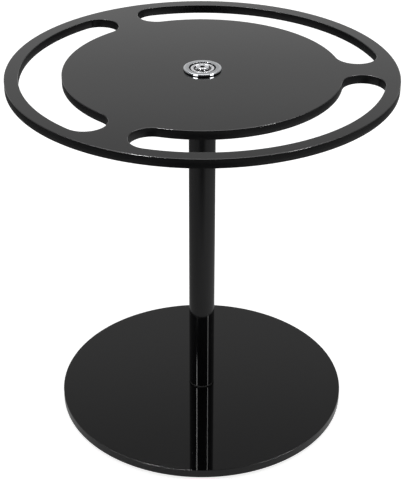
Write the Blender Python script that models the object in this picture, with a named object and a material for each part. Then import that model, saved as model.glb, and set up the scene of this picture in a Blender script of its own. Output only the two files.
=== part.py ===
"""A turntable display stand: a slotted round plate that turns on a ball bearing, on top of a slim column.

Metres, +Z up. The origin is on the spin axis, at the surface that the stand rests on. Ribs of the top plate
lie at 0, 120 and 240 degrees from +X.

The stand is three rigid groups, each under its own empty on the spin axis:
    stand       feet, base plate, column and all that is fixed to it, up to the inner race and axle screw
    turntable   the slotted plate, its hub, and the bearing's outer race and shields
    ball_cage   the bearing's cage and balls
"""

from math import asin, ceil, cos, pi, radians, sin, sqrt, tau

import bmesh
import bpy

MM = 0.001

# Clearances. A seat is a face that rests on another, a fit is one piece inside another.
SEAT_GAP = 0.3 * MM
FIT_GAP = 0.08 * MM
TURNING_GAP = 1.0 * MM

# Top plate.
PLATE_RADIUS = 127.0 * MM
PLATE_THICKNESS = 6.0 * MM
PLATE_TOP = 256.0 * MM
RIM_WIDTH = 9.0 * MM
SLOT_WIDTH = 27.5 * MM
RIB_WIDTH = 18.5 * MM
RIB_COUNT = 3
EDGE_CHAMFER = 0.4 * MM

# Base plate and its feet.
BASE_RADIUS = 101.5 * MM
BASE_THICKNESS = 6.0 * MM
FOOT_COUNT = 4
FOOT_RADIUS = 6.0 * MM
FOOT_HEIGHT = 2.0 * MM
FOOT_INSET = 16.5 * MM
FOOT_CHAMFER = 0.5 * MM

# Column.
COLUMN_RADIUS = 9.0 * MM
COLUMN_WALL = 1.5 * MM
TUBE_CHAMFER = 0.3 * MM
GASKET_THICKNESS = 0.5 * MM
GASKET_SETBACK = 0.3 * MM
FOOT_PLUG_LENGTH = 25.0 * MM
HEAD_PLUG_LENGTH = 20.0 * MM
HEAD_CAP_THICKNESS = 1.5 * MM
HEAD_BOSS_WALL = 3.0 * MM
PLUG_CHAMFER = 0.5 * MM

# Countersunk screw that holds the column to the base.
BASE_SCREW_RADIUS = 3.0 * MM
BASE_SCREW_LENGTH = 25.0 * MM
BASE_SCREW_HEAD_RADIUS = 6.0 * MM
BASE_SCREW_SOCKET = 4.0 * MM
BASE_SCREW_SOCKET_DEPTH = 2.3 * MM
BASE_SCREW_RECESS = 0.2 * MM
TAPPED_HOLE_RUNOUT = 1.0 * MM
SCREW_TIP_CHAMFER = 0.6 * MM

# Ball bearing at the head of the column.
BEARING_BORE_RADIUS = 2.5 * MM
BEARING_RADIUS = 8.0 * MM
BEARING_WIDTH = 5.0 * MM
BEARING_CHAMFER = 0.3 * MM
BALL_RADIUS = 1.5 * MM
BALL_COUNT = 7
RACE_SHOULDER = 1.25 * MM
SHIELD_THICKNESS = 0.25 * MM
SHIELD_RECESS = 0.2 * MM
SHIELD_GAP = 0.3 * MM
CAGE_THICKNESS = 1.1 * MM
CAGE_FLOOR_GAP = 0.1 * MM
CAGE_CROWN = 0.7 * MM

# Chrome hub that carries the plate on the bearing.
HUB_FLANGE_THICKNESS = 2.0 * MM
HUB_FLANGE_OVERHANG = 2.12 * MM
HUB_SEAT_DEPTH = 0.6 * MM
HUB_SEAT_CLEARANCE = 0.15 * MM
HUB_WALL = 2.0 * MM
HUB_LIP_THICKNESS = 1.2 * MM
HUB_LIP_WIDTH = 2.0 * MM
HUB_CHAMFER = 0.4 * MM
HUB_MOUTH_CHAMFER = 0.25 * MM
BEARING_DEPTH = 0.4 * MM
HUB_TAIL = 0.7 * MM
WASHER_THICKNESS = 1.0 * MM
WASHER_WIDTH = 4.0 * MM
NUT_THICKNESS = 3.0 * MM
NUT_WALL = 3.4 * MM
NUT_CHAMFER = 0.5 * MM

# Thin-head screw that is the axle.
AXLE_SCREW_LENGTH = 20.0 * MM
AXLE_HEAD_RADIUS = 4.0 * MM
AXLE_HEAD_HEIGHT = 0.9 * MM
AXLE_HEAD_CHAMFER = 0.25 * MM
AXLE_SOCKET = 3.0 * MM
AXLE_SOCKET_DEPTH = 1.6 * MM
SPACER_THICKNESS = 0.5 * MM

# Fineness of the round shapes: how far a chord may lie inside its arc, and the fewest sides.
LARGE_CHORD_ERROR = 0.08 * MM
SMALL_CHORD_ERROR = 0.02 * MM
FEWEST_SIDES = 24
ARC_STEPS = 6
WELD = 0.001 * MM
CUTTER_OVERRUN = 1.0 * MM
SMOOTH_ANGLE = radians(30)

# Heights that follow from the sizes above, from the surface up.
BASE_BOTTOM = FOOT_HEIGHT + SEAT_GAP
BASE_TOP = BASE_BOTTOM + BASE_THICKNESS
GASKET_BOTTOM = BASE_TOP + SEAT_GAP
TUBE_BOTTOM = GASKET_BOTTOM + GASKET_THICKNESS + SEAT_GAP

# Heights that hang from the top plate, from the top down.
PLATE_BOTTOM = PLATE_TOP - PLATE_THICKNESS
HUB_TOP = PLATE_TOP - HUB_SEAT_DEPTH + SEAT_GAP + HUB_FLANGE_THICKNESS
BEARING_TOP = HUB_TOP - BEARING_DEPTH
BEARING_BOTTOM = BEARING_TOP - BEARING_WIDTH
LIP_TOP = BEARING_BOTTOM - FIT_GAP
LIP_BOTTOM = LIP_TOP - HUB_LIP_THICKNESS
WASHER_TOP = PLATE_BOTTOM - SEAT_GAP
NUT_TOP = WASHER_TOP - WASHER_THICKNESS - SEAT_GAP
HUB_BOTTOM = min(NUT_TOP - NUT_THICKNESS - HUB_TAIL, LIP_BOTTOM - HUB_TAIL)
CAP_TOP = HUB_BOTTOM - TURNING_GAP
TUBE_TOP = CAP_TOP - HEAD_CAP_THICKNESS - SEAT_GAP
SPACER_BOTTOM = BEARING_BOTTOM - FIT_GAP - SPACER_THICKNESS
AXLE_HEAD_BOTTOM = BEARING_TOP + FIT_GAP

# Radii that follow.
TUBE_BORE = COLUMN_RADIUS - COLUMN_WALL
PLUG_RADIUS = TUBE_BORE - FIT_GAP
AXLE_RADIUS = BEARING_BORE_RADIUS - FIT_GAP
PITCH_RADIUS = (BEARING_BORE_RADIUS + BEARING_RADIUS) / 2
OUTER_LAND = PITCH_RADIUS + RACE_SHOULDER
INNER_LAND = PITCH_RADIUS - RACE_SHOULDER
GROOVE_RADIUS = BALL_RADIUS + FIT_GAP
HUB_BORE = BEARING_RADIUS + FIT_GAP
HUB_RADIUS = HUB_BORE + HUB_WALL
HUB_FLANGE_RADIUS = HUB_RADIUS + HUB_FLANGE_OVERHANG
SLOT_OUTER = PLATE_RADIUS - RIM_WIDTH
SLOT_INNER = SLOT_OUTER - SLOT_WIDTH


def clear_scene():
    for obj in list(bpy.data.objects):
        bpy.data.objects.remove(obj, do_unlink=True)


def sides_for(radius):
    """Sides of a round shape, as a multiple of 4, so that no chord lies too far inside the circle."""
    error = LARGE_CHORD_ERROR if radius > 5 * COLUMN_RADIUS else SMALL_CHORD_ERROR
    sides = pi / sqrt(2 * error / radius)
    return max(FEWEST_SIDES, 4 * ceil(sides / 4))


def finish(name, colour, roughness, metallic=0.0):
    material = bpy.data.materials.new(name)
    material.use_nodes = True
    shader = material.node_tree.nodes["Principled BSDF"]
    shader.inputs["Base Color"].default_value = (*colour, 1.0)
    shader.inputs["Roughness"].default_value = roughness
    shader.inputs["Metallic"].default_value = metallic
    return material


def group(name):
    empty = bpy.data.objects.new(name, None)
    bpy.context.scene.collection.objects.link(empty)
    return empty


def piece(name, bm, material, parent, place=(0.0, 0.0, 0.0)):
    """Makes the bmesh into a named object in its group."""
    bmesh.ops.remove_doubles(bm, verts=bm.verts, dist=WELD)
    bmesh.ops.recalc_face_normals(bm, faces=bm.faces)
    mesh = bpy.data.meshes.new(name)
    bm.to_mesh(mesh)
    bm.free()
    mesh.shade_smooth()
    mesh.set_sharp_from_angle(angle=SMOOTH_ANGLE)
    mesh.materials.append(material)
    obj = bpy.data.objects.new(name, mesh)
    obj.location = place
    obj.parent = parent
    bpy.context.scene.collection.objects.link(obj)
    return obj


def turned(profile, sides=None):
    """A turned shape. The profile is (radius, height) points, and is closed unless it ends on the axis."""
    sides = sides or sides_for(max(radius for radius, _ in profile))
    bm = bmesh.new()
    points = [bm.verts.new((radius, 0.0, height)) for radius, height in profile]
    lines = [bm.edges.new(pair) for pair in zip(points, points[1:])]
    if profile[0][0] > 0 or profile[-1][0] > 0:
        lines.append(bm.edges.new((points[-1], points[0])))
    bmesh.ops.spin(
        bm, geom=points + lines, axis=(0, 0, 1), cent=(0, 0, 0), angle=tau, steps=sides, use_merge=True
    )
    return bm


def washer_profile(inner, outer, bottom, top, chamfer=0.0):
    """The section of a flat ring whose outer edges are chamfered."""
    return [
        (inner, bottom),
        (outer - chamfer, bottom),
        (outer, bottom + chamfer),
        (outer, top - chamfer),
        (outer - chamfer, top),
        (inner, top),
    ]


def arc(centre, radius, start, end, steps):
    """Points of an arc about centre, from one angle to the other, both ends included."""
    angles = [start + (end - start) * step / steps for step in range(steps + 1)]
    return [(centre[0] + radius * cos(angle), centre[1] + radius * sin(angle)) for angle in angles]


def circle(radius, sides=None):
    sides = sides or sides_for(radius)
    return arc((0.0, 0.0), radius, 0.0, tau, sides)[:-1]


def cut_plate(outline_at, thickness, chamfer):
    """A flat plate with holes. outline_at(inset) gives its closed outlines, each edge drawn in by inset."""
    bm = bmesh.new()
    levels = [(chamfer, 0.0), (0.0, chamfer), (0.0, thickness - chamfer), (chamfer, thickness)]
    stacks = []
    for inset, height in levels:
        outlines = outline_at(inset)
        stacks.append([[bm.verts.new((x, y, height)) for x, y in outline] for outline in outlines])
    for lower, upper in zip(stacks, stacks[1:]):
        for low_loop, high_loop in zip(lower, upper):
            join_loops(bm, low_loop, high_loop)
    for level in (stacks[0], stacks[-1]):
        edges = [bm.edges.get((a, b)) for loop in level for a, b in zip(loop, loop[1:] + loop[:1])]
        bmesh.ops.triangle_fill(bm, use_beauty=True, edges=edges)
    return bm


def join_loops(bm, low_loop, high_loop):
    count = len(low_loop)
    for here in range(count):
        ahead = (here + 1) % count
        bm.faces.new((low_loop[here], low_loop[ahead], high_loop[ahead], high_loop[here]))


def cut_from(obj, cutter_bm, name):
    """Cuts the closed shape out of the object with a Boolean, and hides the cutter."""
    bmesh.ops.remove_doubles(cutter_bm, verts=cutter_bm.verts, dist=WELD)
    bmesh.ops.recalc_face_normals(cutter_bm, faces=cutter_bm.faces)
    mesh = bpy.data.meshes.new(name)
    cutter_bm.to_mesh(mesh)
    cutter_bm.free()
    cutter = bpy.data.objects.new(name, mesh)
    cutter.location = obj.location
    cutter.parent = obj.parent
    cutter.hide_render = True
    cutter.display_type = "WIRE"
    bpy.context.scene.collection.objects.link(cutter)
    cut = obj.modifiers.new(name, "BOOLEAN")
    cut.operation = "DIFFERENCE"
    cut.solver = "EXACT"
    cut.object = cutter


def hex_prism(across_flats, bottom, top):
    """A closed hexagonal prism, for a socket."""
    corner_radius = across_flats / sqrt(3)
    return turned([(0.0, bottom), (corner_radius, bottom), (corner_radius, top), (0.0, top)], sides=6)


# ---------------------------------------------------------------- the stand


def rubber_feet(parent, material):
    circle_radius = BASE_RADIUS - FOOT_INSET
    for index in range(FOOT_COUNT):
        angle = tau * (index + 0.5) / FOOT_COUNT
        profile = [
            (0.0, 0.0),
            (FOOT_RADIUS - FOOT_CHAMFER, 0.0),
            (FOOT_RADIUS, FOOT_CHAMFER),
            (FOOT_RADIUS, FOOT_HEIGHT),
            (0.0, FOOT_HEIGHT),
        ]
        place = (circle_radius * cos(angle), circle_radius * sin(angle), 0.0)
        piece(f"rubber_foot_{index + 1}", turned(profile), material, parent, place)


def base_plate(parent, material):
    """A disc with one screw hole, countersunk from below with the same slope as the screw's head."""
    hole = BASE_SCREW_RADIUS + SEAT_GAP
    mouth = BASE_SCREW_HEAD_RADIUS + BASE_SCREW_RECESS + SEAT_GAP
    profile = [
        (mouth, 0.0),
        (BASE_RADIUS - EDGE_CHAMFER, 0.0),
        (BASE_RADIUS, EDGE_CHAMFER),
        (BASE_RADIUS, BASE_THICKNESS - EDGE_CHAMFER),
        (BASE_RADIUS - EDGE_CHAMFER, BASE_THICKNESS),
        (hole, BASE_THICKNESS),
        (hole, mouth - hole),
    ]
    piece("base_plate", turned(profile), material, parent, (0.0, 0.0, BASE_BOTTOM))


def base_screw(parent, material):
    tip = BASE_SCREW_LENGTH
    profile = [
        (0.0, 0.0),
        (BASE_SCREW_HEAD_RADIUS, 0.0),
        (BASE_SCREW_RADIUS, BASE_SCREW_HEAD_RADIUS - BASE_SCREW_RADIUS),
        (BASE_SCREW_RADIUS, tip - SCREW_TIP_CHAMFER),
        (BASE_SCREW_RADIUS - SCREW_TIP_CHAMFER, tip),
        (0.0, tip),
    ]
    place = (0.0, 0.0, BASE_BOTTOM + BASE_SCREW_RECESS)
    screw = piece("base_screw", turned(profile), material, parent, place)
    socket = hex_prism(BASE_SCREW_SOCKET, -CUTTER_OVERRUN, BASE_SCREW_SOCKET_DEPTH)
    cut_from(screw, socket, "base_screw_socket")


def foot_gasket(parent, material):
    inner = BASE_SCREW_RADIUS + SEAT_GAP
    outer = COLUMN_RADIUS - GASKET_SETBACK
    profile = washer_profile(inner, outer, 0.0, GASKET_THICKNESS)
    piece("foot_gasket", turned(profile), material, parent, (0.0, 0.0, GASKET_BOTTOM))


def column_tube(parent, material):
    profile = washer_profile(TUBE_BORE, COLUMN_RADIUS, TUBE_BOTTOM, TUBE_TOP, TUBE_CHAMFER)
    piece("column_tube", turned(profile), material, parent)


def column_foot_plug(parent, material):
    """A plug flush with the foot of the tube, tapped from below for the base screw."""
    hole = BASE_SCREW_RADIUS + FIT_GAP
    hole_top = BASE_BOTTOM + BASE_SCREW_RECESS + BASE_SCREW_LENGTH + TAPPED_HOLE_RUNOUT - TUBE_BOTTOM
    length = max(FOOT_PLUG_LENGTH, hole_top + TAPPED_HOLE_RUNOUT)
    profile = [
        (0.0, hole_top),
        (hole, hole_top),
        (hole, 0.0),
        (PLUG_RADIUS, 0.0),
        (PLUG_RADIUS, length - PLUG_CHAMFER),
        (PLUG_RADIUS - PLUG_CHAMFER, length),
        (0.0, length),
    ]
    piece("column_foot_plug", turned(profile), material, parent, (0.0, 0.0, TUBE_BOTTOM))


def column_head_plug(parent, material):
    """A plug in the head of the tube. Its cap closes the tube, and its boss carries the inner race."""
    hole = AXLE_RADIUS + FIT_GAP
    hole_bottom = AXLE_HEAD_BOTTOM - AXLE_SCREW_LENGTH - TAPPED_HOLE_RUNOUT
    plug_bottom = min(TUBE_TOP - HEAD_PLUG_LENGTH, hole_bottom - TAPPED_HOLE_RUNOUT)
    cap_bottom = TUBE_TOP + SEAT_GAP
    boss_top = SPACER_BOTTOM - FIT_GAP
    boss_radius = hole + HEAD_BOSS_WALL
    boss_shoulder = LIP_BOTTOM - SEAT_GAP
    profile = [
        (0.0, plug_bottom),
        (PLUG_RADIUS - PLUG_CHAMFER, plug_bottom),
        (PLUG_RADIUS, plug_bottom + PLUG_CHAMFER),
        (PLUG_RADIUS, cap_bottom),
        (COLUMN_RADIUS, cap_bottom),
        (COLUMN_RADIUS, CAP_TOP - TUBE_CHAMFER),
        (COLUMN_RADIUS - TUBE_CHAMFER, CAP_TOP),
        (boss_radius, CAP_TOP),
        (boss_radius, boss_shoulder),
        (INNER_LAND - FIT_GAP, boss_shoulder),
        (INNER_LAND - FIT_GAP, boss_top),
        (hole, boss_top),
        (hole, hole_bottom),
        (0.0, hole_bottom),
    ]
    piece("column_head_plug", turned(profile), material, parent)


def axle_spacer(parent, material):
    inner = AXLE_RADIUS + FIT_GAP
    profile = washer_profile(inner, INNER_LAND - FIT_GAP, 0.0, SPACER_THICKNESS)
    piece("axle_spacer", turned(profile), material, parent, (0.0, 0.0, SPACER_BOTTOM))


def axle_screw(parent, material):
    """A thin-head screw that clamps the bearing's inner race. A hex socket is sunk through the head."""
    tip = -AXLE_SCREW_LENGTH
    profile = [
        (0.0, tip),
        (AXLE_RADIUS - SCREW_TIP_CHAMFER, tip),
        (AXLE_RADIUS, tip + SCREW_TIP_CHAMFER),
        (AXLE_RADIUS, 0.0),
        (AXLE_HEAD_RADIUS, 0.0),
        (AXLE_HEAD_RADIUS, AXLE_HEAD_HEIGHT - AXLE_HEAD_CHAMFER),
        (AXLE_HEAD_RADIUS - AXLE_HEAD_CHAMFER, AXLE_HEAD_HEIGHT),
        (0.0, AXLE_HEAD_HEIGHT),
    ]
    screw = piece("axle_screw", turned(profile), material, parent, (0.0, 0.0, AXLE_HEAD_BOTTOM))
    socket_bottom = AXLE_HEAD_HEIGHT - AXLE_SOCKET_DEPTH
    socket = hex_prism(AXLE_SOCKET, socket_bottom, AXLE_HEAD_HEIGHT + CUTTER_OVERRUN)
    cut_from(screw, socket, "axle_screw_socket")


# ---------------------------------------------------------------- the bearing


def groove(land_radius):
    """The ball groove in a race's face, from the bottom up, as an arc a little wider than the ball."""
    reach = abs(land_radius - PITCH_RADIUS)
    half_angle = asin(sqrt(GROOVE_RADIUS**2 - reach**2) / GROOVE_RADIUS)
    facing = 0.0 if land_radius > PITCH_RADIUS else pi
    side = 1 if facing == 0.0 else -1
    centre = (PITCH_RADIUS, BEARING_WIDTH / 2)
    return arc(centre, GROOVE_RADIUS, facing - side * half_angle, facing + side * half_angle, ARC_STEPS)


def bearing_inner_race(parent, material):
    bevel = BEARING_CHAMFER
    profile = [
        (BEARING_BORE_RADIUS + bevel, 0.0),
        (INNER_LAND, 0.0),
        *groove(INNER_LAND),
        (INNER_LAND, BEARING_WIDTH),
        (BEARING_BORE_RADIUS + bevel, BEARING_WIDTH),
        (BEARING_BORE_RADIUS, BEARING_WIDTH - bevel),
        (BEARING_BORE_RADIUS, bevel),
    ]
    piece("bearing_inner_race", turned(profile), material, parent, (0.0, 0.0, BEARING_BOTTOM))


def bearing_outer_race(parent, material):
    bevel = BEARING_CHAMFER
    profile = [
        (BEARING_RADIUS - bevel, 0.0),
        (BEARING_RADIUS, bevel),
        (BEARING_RADIUS, BEARING_WIDTH - bevel),
        (BEARING_RADIUS - bevel, BEARING_WIDTH),
        (OUTER_LAND, BEARING_WIDTH),
        *reversed(groove(OUTER_LAND)),
        (OUTER_LAND, 0.0),
    ]
    piece("bearing_outer_race", turned(profile), material, parent, (0.0, 0.0, BEARING_BOTTOM))


def bearing_shields(parent, material):
    """Thin rings that close the bearing, held in the outer race and clear of the inner one."""
    inner = INNER_LAND + SHIELD_GAP
    outer = OUTER_LAND - FIT_GAP
    heights = {"lower": SHIELD_RECESS, "upper": BEARING_WIDTH - SHIELD_RECESS - SHIELD_THICKNESS}
    for side, height in heights.items():
        profile = washer_profile(inner, outer, 0.0, SHIELD_THICKNESS)
        place = (0.0, 0.0, BEARING_BOTTOM + height)
        piece(f"bearing_shield_{side}", turned(profile), material, parent, place)


def ball_shape(radius):
    """A sphere turned from a half circle."""
    half_circle = [(radius * sin(angle), -radius * cos(angle)) for angle in
                   [pi * step / ARC_STEPS for step in range(ARC_STEPS + 1)]]
    half_circle[0] = (0.0, -radius)
    half_circle[-1] = (0.0, radius)
    return turned(half_circle, sides=2 * ARC_STEPS)


def ball_places():
    angles = [tau * index / BALL_COUNT for index in range(BALL_COUNT)]
    return [(PITCH_RADIUS * cos(angle), PITCH_RADIUS * sin(angle), 0.0) for angle in angles]


def bearing_balls(parent, material):
    for index, place in enumerate(ball_places()):
        piece(f"bearing_ball_{index + 1}", ball_shape(BALL_RADIUS), material, parent, place)


def bearing_cage(parent, material):
    """A crown cage: a ring with one open pocket round each ball. Its group lies at the balls' own height."""
    floor = SHIELD_RECESS + SHIELD_THICKNESS + CAGE_FLOOR_GAP - BEARING_WIDTH / 2
    inner = PITCH_RADIUS - CAGE_THICKNESS / 2
    ring = washer_profile(inner, inner + CAGE_THICKNESS, floor, CAGE_CROWN)
    cage = piece("bearing_cage", turned(ring), material, parent)
    pockets = bmesh.new()
    for place in ball_places():
        ball = ball_shape(GROOVE_RADIUS)
        bmesh.ops.translate(ball, verts=ball.verts, vec=place)
        add_to(pockets, ball)
    cut_from(cage, pockets, "bearing_cage_pockets")


def add_to(target, source):
    """Adds the source bmesh to the target and frees it."""
    mesh = bpy.data.meshes.new("part_of_a_cutter")
    source.to_mesh(mesh)
    source.free()
    target.from_mesh(mesh)
    bpy.data.meshes.remove(mesh)


# ---------------------------------------------------------------- the turntable


def slot_outline(inset, centre_angle):
    """A curved slot with round ends, drawn larger by inset, so that the plate round it is drawn in."""
    middle = (SLOT_INNER + SLOT_OUTER) / 2
    end_radius = SLOT_WIDTH / 2 + inset
    from_rib = asin((RIB_WIDTH / 2 + SLOT_WIDTH / 2) / middle)
    half_span = pi / RIB_COUNT - from_rib
    first, last = centre_angle - half_span, centre_angle + half_span
    long_steps = ceil(sides_for(SLOT_OUTER) * half_span / pi)
    end_steps = 2 * ARC_STEPS
    last_centre = (middle * cos(last), middle * sin(last))
    first_centre = (middle * cos(first), middle * sin(first))
    return [
        *arc((0.0, 0.0), SLOT_OUTER + inset, first, last, long_steps)[:-1],
        *arc(last_centre, end_radius, last, last + pi, end_steps)[:-1],
        *arc((0.0, 0.0), SLOT_INNER - inset, last, first, long_steps)[:-1],
        *arc(first_centre, end_radius, first + pi, first + tau, end_steps)[:-1],
    ]


def turntable_plate(parent, material):
    """A disc with a curved slot between each pair of ribs, and a hub hole with a seat for the flange."""

    def outlines(inset):
        slots = [slot_outline(inset, tau * (index + 0.5) / RIB_COUNT) for index in range(RIB_COUNT)]
        return [circle(PLATE_RADIUS - inset, sides_for(PLATE_RADIUS)), *slots]

    bm = cut_plate(outlines, PLATE_THICKNESS, EDGE_CHAMFER)
    plate = piece("turntable_plate", bm, material, parent, (0.0, 0.0, PLATE_BOTTOM))
    hole = HUB_RADIUS + FIT_GAP
    seat = HUB_FLANGE_RADIUS + HUB_SEAT_CLEARANCE
    seat_bottom = PLATE_THICKNESS - HUB_SEAT_DEPTH
    hub_seat = [
        (0.0, -CUTTER_OVERRUN),
        (hole, -CUTTER_OVERRUN),
        (hole, seat_bottom),
        (seat, seat_bottom),
        (seat, PLATE_THICKNESS + CUTTER_OVERRUN),
        (0.0, PLATE_THICKNESS + CUTTER_OVERRUN),
    ]
    cut_from(plate, turned(hub_seat), "turntable_plate_hub_seat")


def bearing_hub(parent, material):
    """A flanged sleeve. The flange sits in the plate's seat, and a lip inside holds the bearing."""
    flange_bottom = HUB_TOP - HUB_FLANGE_THICKNESS
    profile = [
        (HUB_BORE, HUB_BOTTOM),
        (HUB_RADIUS - HUB_CHAMFER, HUB_BOTTOM),
        (HUB_RADIUS, HUB_BOTTOM + HUB_CHAMFER),
        (HUB_RADIUS, flange_bottom),
        (HUB_FLANGE_RADIUS, flange_bottom),
        (HUB_FLANGE_RADIUS, HUB_TOP - HUB_CHAMFER),
        (HUB_FLANGE_RADIUS - HUB_CHAMFER, HUB_TOP),
        (HUB_BORE + HUB_MOUTH_CHAMFER, HUB_TOP),
        (HUB_BORE, HUB_TOP - HUB_MOUTH_CHAMFER),
        (HUB_BORE, LIP_TOP),
        (HUB_BORE - HUB_LIP_WIDTH, LIP_TOP),
        (HUB_BORE - HUB_LIP_WIDTH, LIP_BOTTOM),
        (HUB_BORE, LIP_BOTTOM),
    ]
    piece("bearing_hub", turned(profile), material, parent)


def hub_washer(parent, material):
    inner = HUB_RADIUS + FIT_GAP
    profile = washer_profile(inner, inner + WASHER_WIDTH, 0.0, WASHER_THICKNESS)
    piece("hub_washer", turned(profile), material, parent, (0.0, 0.0, WASHER_TOP - WASHER_THICKNESS))


def hub_nut(parent, material):
    """A thin hexagonal nut, with its edges chamfered."""
    bore = HUB_RADIUS + FIT_GAP
    corner = (bore + NUT_WALL) / cos(pi / 6)

    def outlines(inset):
        return [circle(corner - inset, 6), circle(bore + inset, sides_for(bore))]

    bm = cut_plate(outlines, NUT_THICKNESS, NUT_CHAMFER)
    piece("hub_nut", bm, material, parent, (0.0, 0.0, NUT_TOP - NUT_THICKNESS))


def main():
    clear_scene()
    acrylic = finish("black_cast_acrylic", (0.006, 0.006, 0.007), 0.04)
    paint = finish("gloss_black_paint", (0.007, 0.007, 0.008), 0.08)
    chrome = finish("polished_chrome", (0.78, 0.79, 0.80), 0.06, 1.0)
    steel = finish("bearing_steel", (0.60, 0.60, 0.61), 0.18, 1.0)
    zinc = finish("zinc_plated_steel", (0.52, 0.53, 0.55), 0.35, 1.0)
    rubber = finish("black_rubber", (0.02, 0.02, 0.02), 0.8)
    nylon = finish("white_nylon", (0.75, 0.74, 0.70), 0.5)

    stand = group("stand")
    rubber_feet(stand, rubber)
    base_plate(stand, acrylic)
    base_screw(stand, zinc)
    foot_gasket(stand, rubber)
    column_tube(stand, paint)
    column_foot_plug(stand, zinc)
    column_head_plug(stand, zinc)
    bearing_inner_race(stand, steel)
    axle_spacer(stand, zinc)
    axle_screw(stand, chrome)

    turntable = group("turntable")
    turntable_plate(turntable, acrylic)
    bearing_hub(turntable, chrome)
    bearing_outer_race(turntable, steel)
    bearing_shields(turntable, steel)
    hub_washer(turntable, nylon)
    hub_nut(turntable, chrome)

    ball_cage = group("ball_cage")
    ball_cage.location.z = (BEARING_BOTTOM + BEARING_TOP) / 2
    bearing_cage(ball_cage, nylon)
    bearing_balls(ball_cage, steel)


main()
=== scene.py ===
"""Looks of a turntable display stand: mirror-black acrylic discs, an enamelled column and a chromed hub.

Every piece is turned, cut or moulded here as a fine mesh in the place of its construction solid. Its outer
radii and its heights come from the solids' boxes, and what no box gives is named below or in its function.
Lengths are metres, and small sizes are written in millimetres times MM.
"""

from math import asin, atan2, cos, pi, radians, sin, sqrt, tan, tau

import bmesh
import bpy
from mathutils import Matrix, Vector


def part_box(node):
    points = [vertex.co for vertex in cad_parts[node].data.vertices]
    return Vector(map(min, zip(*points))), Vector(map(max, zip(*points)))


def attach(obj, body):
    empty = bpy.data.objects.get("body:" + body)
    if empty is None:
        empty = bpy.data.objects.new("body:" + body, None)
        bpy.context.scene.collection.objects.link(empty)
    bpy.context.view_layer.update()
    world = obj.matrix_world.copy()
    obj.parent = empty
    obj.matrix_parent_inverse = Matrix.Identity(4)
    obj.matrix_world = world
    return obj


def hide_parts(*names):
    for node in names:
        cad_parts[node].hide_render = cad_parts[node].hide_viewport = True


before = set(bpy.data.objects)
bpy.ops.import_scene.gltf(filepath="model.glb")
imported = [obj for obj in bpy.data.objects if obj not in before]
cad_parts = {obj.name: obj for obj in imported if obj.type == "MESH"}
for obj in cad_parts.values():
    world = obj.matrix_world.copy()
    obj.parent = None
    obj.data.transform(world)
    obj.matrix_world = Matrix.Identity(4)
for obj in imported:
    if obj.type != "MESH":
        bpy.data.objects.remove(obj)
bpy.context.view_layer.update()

MM = 0.001

# Plate outline: the slots' own sizes, which no box gives.
RIM_WIDTH = 9.0 * MM
SLOT_WIDTH = 27.5 * MM
RIB_WIDTH = 18.5 * MM
RIB_COUNT = 3

# Sizes and counts inside the pieces, which no box gives.
FIT_GAP = 0.08 * MM
FOOT_COUNT = 4
BALL_COUNT = 7
BASE_HOLE_RADIUS = 3.3 * MM
BASE_SCREW_RADIUS = 3.0 * MM
BASE_SCREW_SOCKET = 4.0 * MM
SEAL_BORE_RADIUS = 3.4 * MM
TUBE_WALL = 1.5 * MM
AXLE_BORE_RADIUS = 2.5 * MM
AXLE_SCREW_SOCKET = 3.0 * MM
HUB_WALL = 2.0 * MM
HUB_SEAT_DEPTH = 0.6 * MM
HUB_SEAT_CLEARANCE = 0.15 * MM

# Fineness of the turned shapes, the guard beside each rounding, and the angle that stays a sharp edge.
LARGE_SIDES = 288
MIDDLE_SIDES = 128
SMALL_SIDES = 72
ROUND_STEPS = 5
GROOVE_STEPS = 10
NUT_CHAMFER_STEPS = 5
GUARD = 0.06 * MM
TINY = 1e-7
SMOOTH_ANGLE = radians(32)

# Surroundings: (sine of elevation, radiance) stops, and the share that is left in front.
SKY_STOPS = (
    (-1.0, 0.05),
    (-0.05, 0.10),
    (0.02, 1.8),
    (0.22, 1.7),
    (0.34, 0.78),
    (0.40, 0.65),
    (0.45, 0.57),
    (0.56, 0.46),
    (0.66, 0.33),
    (1.0, 0.30),
)
FRONT_LEVEL = 0.3

# The lit patch that the gloss sees on the table: (metres from the axis, radiance) stops, and its dark bay.
CARD_STOPS = ((0.0, 0.36), (0.12, 0.42), (0.3, 0.38), (0.5, 0.30), (0.62, 0.17), (1.0, 0.12))
CARD_HEIGHT = -1.0 * MM
BAY_CENTRE = (0.0, -0.50, 0.0)

FLOOR_HEIGHT = -0.02 * MM
FLOOR_HALF = 6.0
DOME_RADIUS = 5.8

# Lights that show only in the gloss and the metal: name, azimuth and elevation in degrees, distance, width
# and height in metres, radiance.
LIGHT_TARGET = Vector((0.0, 0.0, 0.12))
GLOSS_LIGHTS = (
    ("back_softbox", 180, 70, 1.8, 1.8, 1.0, 8.0),
    ("left_strip", -46, 44.5, 2.0, 0.11, 0.85, 100),
    ("right_strip", 59, 40, 2.0, 0.11, 0.9, 55),
    ("left_low_box", -44, 27.1, 2.0, 0.88, 0.16, 24),
    ("right_low_box", 59, 27.1, 2.0, 0.72, 0.16, 24),
)

# The camera's place in metres, its angles in radians and its focal length in millimetres.
CAMERA_PLACE = (-0.01175, -0.77764, 0.58733)
CAMERA_PITCH = 0.53241
CAMERA_YAW = -0.01603
CAMERA_ROLL = 0.00319
CAMERA_LENS = 97.811


# ---------------------------------------------------------------- shapes


def radius_of(node):
    """Outer radius of a turned piece, from its box."""
    low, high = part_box(node)
    return (high.x - low.x) / 2


def heights_of(node):
    low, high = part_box(node)
    return low.z, high.z


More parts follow.
